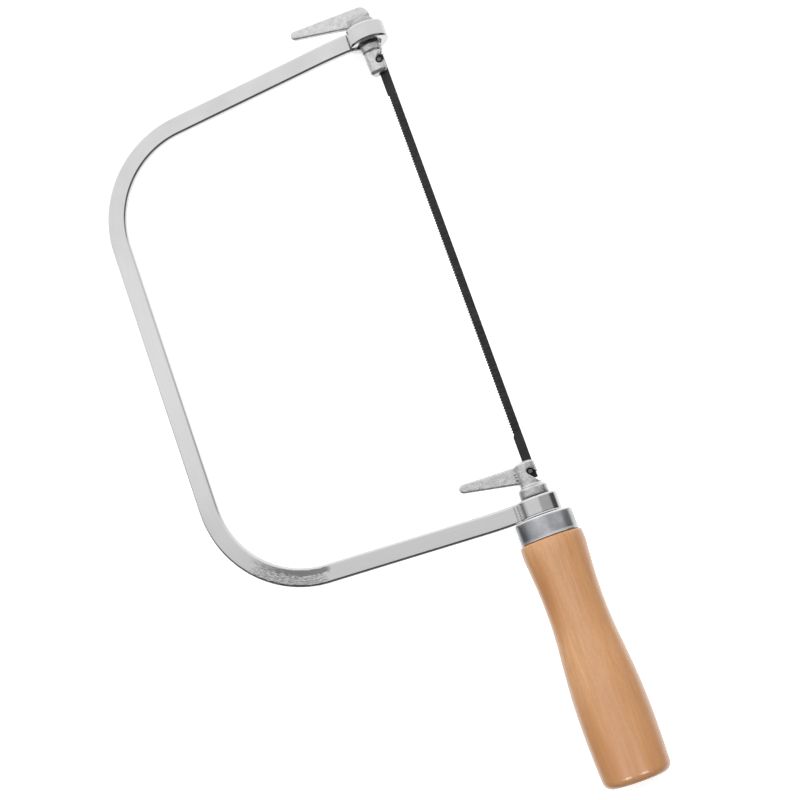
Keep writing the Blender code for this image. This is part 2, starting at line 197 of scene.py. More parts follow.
# Camera, in the saw's millimetres
CAMERA_TARGET = Vector((-33.5, -38.9, 0.0))
CAMERA_DISTANCE = 622.0
CAMERA_HEADING = math.radians(-40.61)
CAMERA_ELEVATION = math.radians(77.05)
CAMERA_ROLL = math.radians(-60.95)
CAMERA_LENS = 78.58
SENSOR = 36.0

# Studio, in metres, and as brightness against paper white
FLOOR_SIZE = 3.4
FLOOR_CLEARANCE = 0.0001
FLOOR_GLOW = 0.45
WALL_RADIUS = FLOOR_SIZE * 0.49
SKY_SPAN = 2.0                 # width of the directions' Y range
SKY_LEVELS = (                 # above the saw: the direction's Y, brightness
    (-0.2, 0.05), (-0.1, 0.15), (0.0, 0.6), (0.08, 0.74),
    (0.15, 0.82), (0.23, 0.99), (0.36, 0.81), (0.65, 1.05),
)
SIDE_LEVELS = (                # to both sides
    (-0.2, 0.05), (-0.1, 0.12), (0.0, 0.37), (0.09, 0.42), (0.23, 0.66), (0.36, 0.84), (0.65, 1.0),
)
SKY_MIDDLE = -0.32
SKY_HALF = 0.6                 # half-width of the bright ceiling, along X
SKY_EDGE = 0.06
DIP = 0.85                     # how much darker the horizon is than the ceiling, except towards +Y
DIP_HEIGHT = (0.24, -0.02)     # each effect sets in between two values of the direction's Z or Y
DIP_ASIDE = (0.3, 0.12)
GLOW = 0.5                     # a brighter band low down towards -Y
GLOW_TOP = (0.36, 0.3)
GLOW_FOOT = (0.12, 0.18)
GLOW_ASIDE = (-0.15, -0.3)
TABLE_LEVEL = 1.0              # what bright metal mirrors from below
TABLE_HEIGHT = (-0.45, -0.75)

OVERHEAD_HEIGHT = 1.1
OVERHEAD_SIZE = 1.4
OVERHEAD_POWER = 11.0
HIGHLIGHTS = {"left_highlight": -0.45, "right_highlight": 0.5}    # place along X
HIGHLIGHT_BACK = -0.62
HIGHLIGHT_HEIGHT = 0.8
HIGHLIGHT_SIZE = 0.32
HIGHLIGHT_POWER = 3.8

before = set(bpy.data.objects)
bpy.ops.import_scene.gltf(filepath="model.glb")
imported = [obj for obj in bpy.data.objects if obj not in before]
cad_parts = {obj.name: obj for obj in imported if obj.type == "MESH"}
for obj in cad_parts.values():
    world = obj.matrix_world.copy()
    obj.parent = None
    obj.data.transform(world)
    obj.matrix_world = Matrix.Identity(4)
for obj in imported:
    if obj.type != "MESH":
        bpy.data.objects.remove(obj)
cad_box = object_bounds()


def saw_origin():
    """The point on the saw's axis midway between the two eyes, in the frame's metres."""
    stud_low, stud_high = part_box("rear_stud")
    bow_low, bow_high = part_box("frame_bow")
    axis = (stud_low + stud_high) / 2
    return Vector((axis.x, (bow_low.y + bow_high.y) / 2, axis.z))


ORIGIN = saw_origin()


def place(point):
    return ORIGIN + Vector(point) * MM


def local_box(node):
    low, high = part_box(node)
    return (low - ORIGIN) / MM, (high - ORIGIN) / MM


# Mesh helpers


def skin(rings, closed=True, loop=False):
    """A bmesh through a row of equal rings of points. loop joins the last ring to the first."""
    form = bmesh.new()
    rows = [[form.verts.new(place(point)) for point in ring] for ring in rings]
    count = len(rows[0])
    pairs = list(zip(rows, rows[1:]))
    if loop:
        pairs.append((rows[-1], rows[0]))
    for low, high in pairs:
        for i in range(count):
            j = (i + 1) % count
            form.faces.new((low[i], low[j], high[j], high[i]))
    if closed and not loop:
        form.faces.new(rows[0])
        form.faces.new(rows[-1])
    bmesh.ops.recalc_face_normals(form, faces=form.faces)
    return form


def make_piece(name, form, sharp=None):
    mesh = bpy.data.meshes.new(name)
    form.to_mesh(mesh)
    form.free()
    mesh.shade_smooth()
    if sharp is not None:
        mesh.set_sharp_from_angle(angle=math.radians(sharp))
    piece = bpy.data.objects.new(name, mesh)
    bpy.context.scene.collection.objects.link(piece)
    return piece


def settle(piece):
    """Keep the mesh that the piece's modifiers make, and drop the modifiers."""
    bpy.context.view_layer.update()
    graph = bpy.context.evaluated_depsgraph_get()
    mesh = bpy.data.meshes.new_from_object(piece.evaluated_get(graph))
    piece.modifiers.clear()
    piece.data = mesh
    mesh.shade_smooth()


def dress(piece, finish, body, slot, *nodes):
    """Give a piece its material and its body, and hide the CAD nodes it stands for. slot is not used."""
    piece.data.materials.clear()
    piece.data.materials.append(finish)
    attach(piece, body)
    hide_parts(*nodes)


def circle(radius, y, sides=ROUND, flat=None):
    ring = []
    for i in range(sides):
        angle = 2 * math.pi * i / sides
        reach = radius
        if flat is not None and abs(math.sin(angle)) > 1e-6:
            reach = min(radius, flat / abs(math.sin(angle)))
        ring.append((reach * math.cos(angle), y, reach * math.sin(angle)))
    return ring


def turned(profile, sides=ROUND):
    return skin([circle(step[1], step[0], sides, *step[2:]) for step in profile])


def prism(outline, low, high):
    return skin([[(x, y, z) for x, y in outline] for z in (low, high)])


def arc(centre, radius, start, end, steps):
    points = []
    for i in range(steps + 1):
        angle = start + (end - start) * i / steps
        points.append((centre[0] + radius * math.cos(angle), centre[1] + radius * math.sin(angle)))
    return points


def round_over(y, radius, size, along, steps=6):
    """Profile steps of a quarter round, which starts on the side of a turned piece."""
    points = []
    for i in range(steps + 1):
        angle = math.pi / 2 * i / steps
        inward = size * (1 - math.cos(angle))
        points.append((y + along * size * math.sin(angle), radius - inward))
    return points


# Bow


def bar_outline():
    """The bar's rounded section as (across, through) points, from the middle of the inner side."""
    half_w = BAR_WIDTH / 2 - BAR_ROUND
    half_t = BAR_THICKNESS / 2 - BAR_ROUND
    middles = (half_w, half_t), (-half_w, half_t), (-half_w, -half_t), (half_w, -half_t)
    points = []
    for corner, middle in enumerate(middles):
        start = math.pi / 2 * corner
        bend = arc(middle, BAR_ROUND, start, start + math.pi / 2, 5)
        ahead = Vector((math.sin(start), -math.cos(start))) * BAR_LAND
        beyond = Vector((-math.cos(start), -math.sin(start))) * BAR_LAND
        points += [Vector(bend[0]) + ahead] + bend + [Vector(bend[-1]) + beyond]
    return points


def bow_stations():
    """Stations from the middle of the spine to the end of the front eye: centre, across and through."""
    eye_y = EYE_SPAN / 2
    ease_x = NECK_START - ARM_EASE_RADIUS * math.sin(ARM_SPLAY)
    ease_y = eye_y - ARM_EASE_RADIUS * (1 - math.cos(ARM_SPLAY))
    spine_x = CORNER_RADIUS - THROAT
    arm_x = spine_x - CORNER_RADIUS * math.sin(ARM_SPLAY)
    arm_y = ease_y - (ease_x - arm_x) * math.tan(ARM_SPLAY)
    corner_y = arm_y - CORNER_RADIUS * math.cos(ARM_SPLAY)
    stations = []

    def flat_station(x, y, heading):
        across = Vector((-math.sin(heading), math.cos(heading), 0))
        stations.append((Vector((x, y, 0)), across, Vector((0, 0, 1))))

    def eye_station(x, z, heading):
        through = Vector((-math.sin(heading), 0, math.cos(heading)))
        stations.append((Vector((x, eye_y, z)), Vector((0, 1, 0)), through))

    for i in range(SPINE_STEPS):
        flat_station(-THROAT, corner_y * i / SPINE_STEPS, math.pi / 2)
    for i in range(CORNER_STEPS + 1):
        heading = math.pi / 2 - (math.pi / 2 - ARM_SPLAY) * i / CORNER_STEPS
        x = spine_x - CORNER_RADIUS * math.sin(heading)
        flat_station(x, corner_y + CORNER_RADIUS * math.cos(heading), heading)
    arm_steps = 8
    for i in range(1, arm_steps):
        share = i / arm_steps
        flat_station(arm_x + (ease_x - arm_x) * share, arm_y + (ease_y - arm_y) * share, ARM_SPLAY)
    ease_steps = 6
    for i in range(ease_steps + 1):
        heading = ARM_SPLAY * (1 - i / ease_steps)
        x = NECK_START - ARM_EASE_RADIUS * math.sin(heading)
        flat_station(x, eye_y - ARM_EASE_RADIUS * (1 - math.cos(heading)), heading)
    join = math.atan2(-EYE_NECK, NECK_START)
    neck_turn = math.pi / 2 + join
    neck_steps = 24
    for i in range(1, neck_steps + 1):
        heading = neck_turn * i / neck_steps
        eye_station(NECK_START - EYE_NECK * math.sin(heading), EYE_NECK * (math.cos(heading) - 1), heading)
    closing = math.pi - math.asin((BAR_THICKNESS / 2 + GAP) / (EYE_RADIUS - BAR_THICKNESS))
    first = join + math.pi * 2
    last = closing + math.pi * 2
    chamfer = END_CHAMFER / EYE_RADIUS
    for i in range(1, EYE_STEPS + 1):
        angle = first + (last - chamfer - first) * i / EYE_STEPS
        eye_station(EYE_RING * math.cos(angle), EYE_RING * math.sin(angle), angle + math.pi / 2)
    eye_station(EYE_RING * math.cos(last), EYE_RING * math.sin(last), last + math.pi / 2)
    return stations


def half_bow_rings():
    """The section's points at each station.

    The corner is drawn thinner on its outside, the bent neck is rippled and the cut end is chamfered.
    """
    outline = bar_outline()
    stations = bow_stations()
    neck_middle = Vector((NECK_START + RIPPLE_MIDDLE[0], EYE_SPAN / 2, RIPPLE_MIDDLE[1]))
    widest = BAR_WIDTH / 2 - END_CHAMFER_SIDE
    rings = []
    run = 0.0
    previous = stations[0][0]
    for index, (centre, across, through) in enumerate(stations):
        run += (centre - previous).length
        previous = centre
        window = max(0.0, 1 - ((centre - neck_middle).length / RIPPLE_REACH) ** 2)
        ripple = NECK_RIPPLE * window * math.sin(2 * math.pi * run / RIPPLE_PITCH)
        turned_share = (index - SPINE_STEPS) / CORNER_STEPS
        bend = max(0.0, min(1.0, THINNING_RATE * turned_share, THINNING_RATE * (1 - turned_share)))
        last = index == len(stations) - 1
        ring = []
        for w, t in outline:
            drawn_in = CORNER_THINNING * bend * (0.5 + w / BAR_WIDTH)
            depth = t * (1 - drawn_in) + ripple
            if last:
                depth = max(depth, END_CHAMFER_DEPTH - BAR_THICKNESS / 2)
                w = max(-widest, min(widest, w))
            ring.append(centre + across * w + through * depth)
        rings.append(ring)
    return rings


def lay_bar_map(mesh, count, rows):
    """UVs in metres: along the bar, and round its section from the middle of the inner side."""
    outline = [Vector(point) for point in bar_outline()]
    round_run = [0.0]
    for low, high in zip(outline, outline[1:] + outline[:1]):
        round_run.append(round_run[-1] + (high - low).length)
    along = [0.0]
    for low, high in zip(rows, rows[1:]):
        middle_low = sum(low, Vector()) / count
        middle_high = sum(high, Vector()) / count
        along.append(along[-1] + (middle_high - middle_low).length)
    layer = mesh.uv_layers.new(name="bar_map")
    for face in mesh.polygons:
        corners = [mesh.loops[i].vertex_index for i in face.loop_indices]
        wraps = len(corners) == 4 and {v % count for v in corners} == {0, count - 1}
        for loop_index, vertex in zip(face.loop_indices, corners):
            place_round = count if wraps and vertex % count == 0 else vertex % count
            layer.data[loop_index].uv = (along[vertex // count] * MM, round_run[place_round] * MM)


def make_bow(finish):
    front = half_bow_rings()
    rear = [[Vector((p.x, -p.y, -p.z)) for p in ring] for ring in front]
    # Half a turn about X swaps the two flat sides, so the points of a ring run the other way.
    shift = len(rear[0])
    rear = [[ring[(shift - 1 - i) % shift] for i in range(shift)] for ring in rear]
    rows = list(reversed(rear[1:])) + front
    form = skin(rows)
    piece = make_piece("bow", form, sharp=40)
    lay_bar_map(piece.data, len(rows[0]), rows)
    dress(piece, finish, "bow", "bow_chrome", "frame_bow")


# Blade


def blade_edge(front_pin, rear_pin, edge):
    """Points down the toothed side from the front end, as (x, y, lean): lean is the tooth's set."""
    tips = edge + TOOTH_ROOT_STEP
    start = front_pin.y - TEETH_MARGIN
    count = int((front_pin.y - rear_pin.y - 2 * TEETH_MARGIN) / TOOTH_PITCH)
    plain = TEETH_MARGIN - TOOTH_RAMP
    points = [(edge, front_pin.y - plain, 0)]
    for i in range(count):
        y = start - i * TOOTH_PITCH
        side = 1 if i % 2 else -1
        points.append((tips + TOOTH_DEPTH, y, 0))
        points.append((tips, y - TOOTH_PITCH * TOOTH_RISE, side * TOOTH_SET))
    points.append((tips + TOOTH_DEPTH, start - count * TOOTH_PITCH, 0))
    points.append((edge, rear_pin.y + plain, 0))
    return points


def pin_form(at):
    """A cross pin with rounded ends. Both pins are alike."""
    low, high = local_box("front_blade_pin")
    radius = (high.x - low.x) / 2
    length = high.z - low.z
    rings = []
    for end in (-1, 1):
        profile = round_over(end * (length / 2 - PIN_ROUND), radius, PIN_ROUND, end, 4)
        if end < 0:
            profile.reverse()
        for z, reach in profile:
            rings.append([(at.x + reach * x, at.y + reach * y, z) for x, _, y in circle(1, 0, 28)])
    return skin(rings)


def make_blade(finish):
    low, high = local_box("blade")
    front_pin = sum(local_box("front_blade_pin"), Vector()) / 2
    rear_pin = sum(local_box("rear_blade_pin"), Vector()) / 2
    half = BLADE_THICKNESS / 2
    points = [(low.x, high.y, 0)] + blade_edge(front_pin, rear_pin, low.x) + [(low.x, low.y, 0)]
    back = high.x
    rings = []
    for x, y, lean in points:
        rings.append([
            (x, y, half + lean), (back - BLADE_BACK_ROUND, y, half), (back, y, half - BLADE_BACK_ROUND),
            (back, y, BLADE_BACK_ROUND - half), (back - BLADE_BACK_ROUND, y, -half), (x, y, lean - half),
        ])
    blade = make_piece("blade_strip", skin(rings))
    pins = (("front_pin", "front_blade_pin", front_pin), ("rear_pin", "rear_blade_pin", rear_pin))
    for name, node, at in pins:
        pin = make_piece(name, pin_form(at), sharp=50)
        hole = blade.modifiers.new("hole", "BOOLEAN")
        hole.object = pin
        hole.operation = "DIFFERENCE"
        hole.solver = "EXACT"
        settle(blade)
        dress(pin, finish, "blade_set", "blade_steel", node)
    blade.data.set_sharp_from_angle(angle=math.radians(25))
    dress(blade, finish, "blade_set", "blade_steel", "blade")


# Blade holders


def lever_outline(root, tip, reach, at_y, inset=0.0):
    """A tapered lever with round ends, pointing to -X and swept towards the front."""
    along = Vector((-math.cos(LEVER_SWEEP), math.sin(LEVER_SWEEP)))
    lean = math.asin((root - tip) / 2 / (reach - tip / 2))
    facing = math.pi - LEVER_SWEEP
    hub = arc((0, at_y), root / 2 - inset, facing + math.pi / 2 - lean, facing + math.pi * 1.5 + lean, 24)
    end = Vector((0, at_y)) + along * (reach - tip / 2)
    nose = arc(end, tip / 2 - inset, facing - math.pi / 2 + lean, facing + math.pi / 2 - lean, 16)
    return hub + nose


def lever_form(root, tip, reach, at_y):
    """The lever as a plate with a rounded rim."""
    flat = LEVER_THICKNESS / 2 - LEVER_RIM
    rim_steps = 4
    rings = []
    for end in (-1, 1):
        steps = []
        for i in range(rim_steps + 1):
            angle = math.pi / 2 * i / rim_steps
            steps.append((LEVER_RIM * (1 - math.cos(angle)), LEVER_RIM * math.sin(angle)))
        if end < 0:
            steps.reverse()
        for inset, rise in steps:
            z = end * (flat + rise)
            rings.append([(x, y, z) for x, y in lever_outline(root, tip, reach, at_y, inset)])
    return skin(rings)


def holder_cut(seat, outward):
    """The blade's slot and the slanted notch for its pin. outward is +1 at the front."""
    inner = seat.x - BLADE_WIDTH / 2 - GAP
    outer = seat.x + CUT_REACH
    ends = sorted((seat.y - outward * CUT_REACH, seat.y + outward * SLOT_DEPTH))
    slot = [(inner, ends[0]), (outer, ends[0]), (outer, ends[1]), (inner, ends[1])]
    facing = outward * NOTCH_ANGLE
    middle = (seat.x, seat.y)
    notch = arc(middle, SEAT_RADIUS, facing + math.pi / 2, facing + math.pi * 1.5, 16)
    mouth = Vector(middle) + Vector((math.cos(facing), math.sin(facing))) * NOTCH_REACH
    side = Vector((-math.sin(facing), math.cos(facing))) * NOTCH_WIDTH / 2
    notch += [tuple(mouth - side), tuple(mouth + side)]
    return [prism(slot, -SLOT_WIDTH / 2, SLOT_WIDTH / 2), prism(notch, -CUT_REACH, CUT_REACH)]


def cast(name, solids, cuts):
    """Fuse solids into one casting, cut it, and give it softened edges and a lumpy skin."""
    piece = make_piece(name, solids[0])
    tools = []
    for operation, forms in (("UNION", solids[1:]), ("DIFFERENCE", cuts)):
        for index, form in enumerate(forms):
            tool = make_piece(f"{name}_{operation}_{index}", form)
            tools.append(tool)
            change = piece.modifiers.new(tool.name, "BOOLEAN")
            change.object = tool
            change.operation = operation
            change.solver = "EXACT"
    remesh = piece.modifiers.new("skin", "REMESH")
    remesh.mode = "VOXEL"
    remesh.voxel_size = CAST_VOXEL * MM
    smooth = piece.modifiers.new("soften", "SMOOTH")
    smooth.factor = 0.5
    smooth.iterations = 5
    settle(piece)
    for tool in tools:
        bpy.data.objects.remove(tool)
    normals = [vertex.normal.copy() for vertex in piece.data.vertices]
    for vertex, normal in zip(piece.data.vertices, normals):
        lump = noise.noise(vertex.co / (CAST_LUMP_SIZE * MM))
        vertex.co += normal * (lump - 0.5) * CAST_LUMPS * MM
    return piece


def make_front_holder(finish):
    tip = local_box("front_lever_spigot")[0].y
    seat = sum(local_box("front_blade_pin"), Vector()) / 2
    eye_face = local_box("frame_bow")[1].y
    neck = seat.y + FRONT_NECK
    eye_back = eye_face - BAR_WIDTH
    boss = eye_face + GAP
    profile = [
        (tip, FRONT_BODY_RADIUS - TIP_ROUND, FRONT_BODY_FLAT - TIP_ROUND + TIP_TAPER),
        (tip + TIP_ROUND, FRONT_BODY_RADIUS - TIP_TAPER, FRONT_BODY_FLAT - TIP_TAPER / 2),
        (neck - STEP, FRONT_BODY_RADIUS, FRONT_BODY_FLAT),
        (neck, FRONT_BODY_RADIUS - STEP / 2, FRONT_BODY_FLAT),
        (neck + STEP, FRONT_BODY_RADIUS + 0.25),
        (eye_back - 0.8, FRONT_COLLAR_RADIUS),
        (eye_back + 0.4, FRONT_SHANK_RADIUS),
        (boss, FRONT_SHANK_RADIUS),
        (boss, FRONT_BOSS_RADIUS),
    ]
    dome_steps = 10
    for i in range(dome_steps):
        angle = math.pi / 2 * i / dome_steps
        rise = FRONT_BOSS_RIM + (FRONT_BOSS_HEIGHT - FRONT_BOSS_RIM) * math.sin(angle)
        profile.append((boss + rise, FRONT_BOSS_RADIUS * math.cos(angle)))
    lever = lever_form(FRONT_LEVER_ROOT, FRONT_LEVER_TIP, FRONT_LEVER_REACH, eye_face + FRONT_LEVER_RISE)
    piece = cast("front_holder_casting", [turned(profile), lever], holder_cut(seat, 1))
    dress(piece, finish, "front_holder", "cast_zinc", "front_lever_spigot")


def root_bumps(lever_y):
    """Small bumps in a row across the near side of the rear lever's root."""
    bumps = []
    for i in range(ROOT_BUMPS):
        bump = bmesh.new()
        bmesh.ops.create_icosphere(bump, subdivisions=2, radius=ROOT_BUMP_RADIUS * MM)
        along = lever_y + (1.2 - i) * ROOT_BUMP_PITCH
        at = (-REAR_BODY_RADIUS + 0.1, along, LEVER_THICKNESS / 2 + ROOT_BUMP_RISE)
        bmesh.ops.translate(bump, verts=bump.verts, vec=place(at))
        bumps.append(bump)
    return bumps


def make_rear_holder(finish):
    low, high = local_box("rear_lever_spigot")
    seat = sum(local_box("rear_blade_pin"), Vector()) / 2
    tip = high.y
    neck = seat.y - REAR_NECK
    collar = GAP - (EYE_SPAN - BAR_WIDTH) / 2
    socket_radius = STUD_RADIUS + STUD_FIT
    stud_top = local_box("rear_stud")[1].y
    profile = [
        (tip, REAR_BODY_RADIUS - TIP_ROUND),
        (tip - TIP_ROUND + TIP_TAPER, REAR_BODY_RADIUS - TIP_TAPER),
        (neck + 0.5, REAR_BODY_RADIUS),
        (neck, REAR_BODY_RADIUS + 0.35),
        (neck - 0.1, REAR_COLLAR_RADIUS - 0.6),
        (neck - 0.6, REAR_COLLAR_RADIUS),
        (collar + STEP, REAR_COLLAR_RADIUS),
        (collar, REAR_COLLAR_RADIUS - STEP),
        (collar, REAR_SHANK_RADIUS),
        (low.y, REAR_SHANK_RADIUS),
        (low.y, socket_radius),
        (stud_top + GAP, socket_radius),
    ]
    lever_y = seat.y - REAR_LEVER_DROP
    lever = lever_form(REAR_LEVER_ROOT, REAR_LEVER_TIP, REAR_LEVER_REACH, lever_y)
    side = -REAR_BODY_RADIUS - 0.2
    beyond = tip + 2
    bevel = [
        (side, tip - REAR_BEVEL_DROP), (-REAR_BEVEL_START, tip), (-REAR_BEVEL_START, beyond), (side, beyond),
    ]
    cuts = holder_cut(seat, -1) + [prism(bevel, -CUT_REACH, CUT_REACH)]
    piece = cast("rear_holder_casting", [turned(profile), lever] + root_bumps(lever_y), cuts)
    dress(piece, finish, "rear_holder", "cast_zinc", "rear_lever_spigot")


def make_stud(finish):
    """The screwed stud: the ring radius follows a helix, so the thread is in the mesh."""
    low, high = local_box("rear_stud")
    sides = 36
    steps_per_pitch = 8
    steps = int((high.y - low.y) / THREAD_PITCH * steps_per_pitch)
    rings = []
    for i in range(steps + 1):
        y = high.y - (high.y - low.y) * i / steps
        lead = min(1.0, (high.y - y) / STUD_LEAD, (y - low.y) / STUD_LEAD)
        ring = []
        for side in range(sides):
            turn = side / sides
            phase = (y / THREAD_PITCH + turn) % 1.0
            crest = min(1.0, THREAD_CREST * abs(2 * phase - 1))
            radius = STUD_RADIUS - THREAD_DEPTH * (1 - crest) - STUD_LEAD_DROP * (1 - lead)
            angle = 2 * math.pi * turn
            ring.append((radius * math.cos(angle), y, radius * math.sin(angle)))
        rings.append(ring)
    piece = make_piece("threaded_stud", skin(rings), sharp=50)
    dress(piece, finish, "rear_holder", "bright_steel", "rear_stud")


# Handle


def handle_radius(distance):
    """Radius of the turned handle, on a smooth curve through HANDLE_RADII."""
    points = HANDLE_RADII
    index = 0
    while index < len(points) - 2 and distance > points[index + 1][0]:
        index += 1
    before = points[max(index - 1, 0)]
    low = points[index]
    high = points[index + 1]
    after = points[min(index + 2, len(points) - 1)]
    span = high[0] - low[0]
    slope_low = (high[1] - before[1]) / (high[0] - before[0]) * span
    slope_high = (after[1] - low[1]) / (after[0] - low[0]) * span
    t = (distance - low[0]) / span
    return (
        low[1] * (2 * t ** 3 - 3 * t ** 2 + 1)
        + slope_low * (t ** 3 - 2 * t ** 2 + t)
        + high[1] * (3 * t ** 2 - 2 * t ** 3)
        + slope_high * (t ** 3 - t ** 2)
    )


def hexagon(across_flats, y, sides, corner=None):
    """A hexagon about the Y axis with as many points as a circle. corner limits its corners' radius."""
    ring = []
    for i in range(sides):
        angle = 2 * math.pi * i / sides
        from_flat = (angle + math.pi / 6) % (math.pi / 3) - math.pi / 6
        reach = across_flats / 2 / math.cos(math.pi / 6 - abs(from_flat))
        if corner is not None:
            reach = min(reach, corner)
        ring.append((reach * math.cos(angle), y, reach * math.sin(angle)))
    return ring


def make_ferrule(finish):
    """A drawn steel cup: a rounded front edge, a thin wall and a slightly flared rim."""
    low, high = local_box("ferrule")
    front = high.y
    rear = low.y
    hole = STUD_RADIUS + GAP
    inner = FERRULE_RADIUS - FERRULE_WALL
    body = FERRULE_RADIUS - FERRULE_FLARE
    profile = [(front, hole), (front, body - FERRULE_ROUND)]
    outer = round_over(front - FERRULE_ROUND, body, FERRULE_ROUND, 1)
    profile += outer[::-1]
    profile += [(rear + FLARE_START, body), (rear + FLARE_START - LIP_LENGTH, body + 0.01)]
    profile += [(rear + FLARE_END, FERRULE_RADIUS), (rear + LIP_LENGTH, FERRULE_RADIUS)]
    profile += [(rear, FERRULE_RADIUS - LIP_DROP)]
    profile += [(rear, inner), (front - FERRULE_WALL, inner), (front - FERRULE_WALL, hole)]
    form = skin([circle(radius, y, HANDLE_SIDES) for y, radius in profile], loop=True)
    piece = make_piece("ferrule_cup", form, sharp=40)
    dress(piece, finish, "handle", "bright_steel", "ferrule")


def make_nut(finish):
    low, high = local_box("handle_nut")
    sides = 60
    bore = STUD_RADIUS + STUD_FIT
    corner = NUT_ACROSS_FLATS / 2 + NUT_CORNER
    rings = [
        circle(bore, high.y, sides), hexagon(NUT_ACROSS_FLATS, high.y, sides, corner),
        hexagon(NUT_ACROSS_FLATS, high.y - NUT_CHAMFER, sides),
        hexagon(NUT_ACROSS_FLATS, low.y + NUT_CHAMFER, sides),
        hexagon(NUT_ACROSS_FLATS, low.y, sides, corner), circle(bore, low.y, sides),
    ]
    piece = make_piece("captive_nut", skin(rings, loop=True), sharp=30)
    dress(piece, finish, "handle", "bright_steel", "handle_nut")


def make_handle(finish):
    low, high = local_box("handle_grip")
    shoulder = local_box("ferrule")[0].y - GAP
    tenon_front = high.y
    tenon = FERRULE_RADIUS - FERRULE_WALL - GAP
    pocket = local_box("handle_nut")[0].y - GAP
    pocket_size = NUT_ACROSS_FLATS + 2 * GAP
    length = shoulder - low.y
    rings = [
        circle(BORE_RADIUS, tenon_front - BORE_LENGTH, HANDLE_SIDES),
        circle(BORE_RADIUS, pocket, HANDLE_SIDES),
        hexagon(pocket_size, pocket, HANDLE_SIDES),
        hexagon(pocket_size, tenon_front, HANDLE_SIDES),
        circle(tenon, tenon_front, HANDLE_SIDES),
        circle(tenon, shoulder, HANDLE_SIDES),
    ]
    widest = high.z
    start = handle_radius(SHOULDER_ROUND)
    for y, radius in round_over(shoulder - SHOULDER_ROUND, start, SHOULDER_ROUND, 1, 4)[::-1]:
        rings.append(circle(radius, y, HANDLE_SIDES))
    straight = length - BUTT_ROUND
    steps = 70
    for i in range(1, steps + 1):
        distance = SHOULDER_ROUND + (straight - SHOULDER_ROUND) * i / steps
        rings.append(circle(min(handle_radius(distance), widest), shoulder - distance, HANDLE_SIDES))
    edge = handle_radius(straight)
    round_steps = 14
    for i in range(1, round_steps + 1):
        angle = math.pi / 2 * i / round_steps
        radius = BUTT_FLAT + (edge - BUTT_FLAT) * math.cos(angle)
        rings.append(circle(radius, shoulder - straight - BUTT_ROUND * math.sin(angle), HANDLE_SIDES))
    for share in (0.6, 0.2):
        rings.append(circle(BUTT_FLAT * share, low.y, HANDLE_SIDES))
    piece = make_piece("turned_handle", skin(rings), sharp=50)
    dress(piece, finish, "handle", "lacquered_beech", "handle_grip")


# Materials


def add_node(tree, kind, inputs=None, **settings):
    """Add a node. Each input is a constant, or the socket that feeds it."""
    node = tree.nodes.new(kind)
    for name, value in settings.items():
        setattr(node, name, value)
    for key, value in (inputs or {}).items():
        if isinstance(value, bpy.types.NodeSocket):
            tree.links.new(value, node.inputs[key])
        else:
            node.inputs[key].default_value = value
    return node


def set_stops(node, stops):
    """Give a colour ramp its stops, each (position, colour)."""
    elements = node.color_ramp.elements
    while len(elements) < len(stops):
        elements.new(0.5)
    for element, (position, colour) in zip(elements, stops):
        element.position = position
        element.color = (*colour, 1.0)


